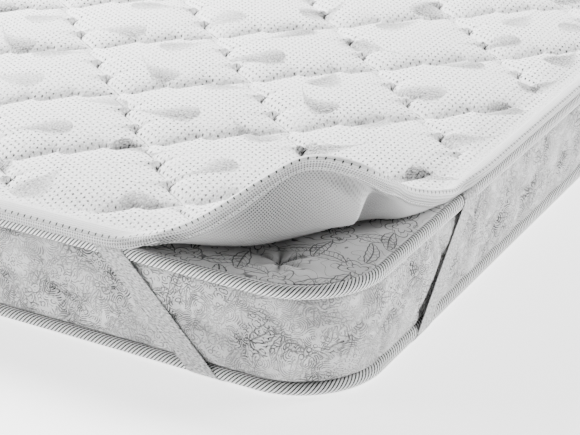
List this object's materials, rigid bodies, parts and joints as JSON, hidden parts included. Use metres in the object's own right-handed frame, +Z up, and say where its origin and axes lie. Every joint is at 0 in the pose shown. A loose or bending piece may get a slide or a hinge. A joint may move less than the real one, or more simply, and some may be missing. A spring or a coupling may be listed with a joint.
{
  "type": "quilted mattress topper with corner straps on a mattress",
  "caption": "Quilted mattress topper with a bound edge and elastic corner straps, one corner lifted, on the plain sprung mattress that it fits.",
  "frame": {"origin": "centre of the mattress's footprint, on the surface it rests on", "axes": "+Z up, +Y along the mattress's length, +X across its width; the lifted corner is at +X -Y"},
  "size_m": [1.4142, 2.0142, 0.3489],
  "materials": {
    "knit": "white pin-dotted knit, quilted",
    "binding": "white ribbed knit band, overlocked",
    "elastic": "matt woven elastic",
    "damask": "soft sheen floral jacquard",
    "tape": "diagonal twill tape, rolled"
  },
  "bodies": {
    "root": {"topper_pad": "knit", "edge_binding": "binding", "strap_front_right": "elastic", "strap_back_right": "elastic", "strap_back_left": "elastic", "strap_front_left": "elastic", "mattress": "damask", "upper_tape": "tape", "lower_tape": "tape"}
  },
  "joints": []
}
